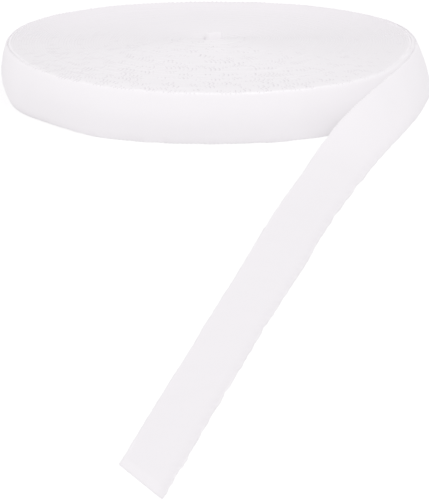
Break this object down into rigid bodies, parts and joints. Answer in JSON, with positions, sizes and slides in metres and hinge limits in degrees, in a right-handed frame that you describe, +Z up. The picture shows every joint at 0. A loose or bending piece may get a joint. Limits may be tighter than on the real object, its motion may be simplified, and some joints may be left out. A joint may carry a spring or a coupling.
{
  "type": "roll of velvet ribbon",
  "caption": "Flat roll of white velvet ribbon wound on itself with no core, lying on its side, its outer end laid out across the surface to a slanted cut.",
  "frame": {"origin": "on the surface that the roll lies on, under the middle of the whole part's box", "axes": "+Z up, along the axis of the winding; -Y the way that the loose end runs from the roll; +X across, towards the side of the roll where the ribbon leaves it"},
  "size_m": [0.2044, 0.8016, 0.0294],
  "materials": {
    "white_velvet": "short cut pile, matt with a soft sheen at grazing angles"
  },
  "bodies": {
    "root": {"roll": "white_velvet", "loose_end": "white_velvet"}
  },
  "joints": []
}
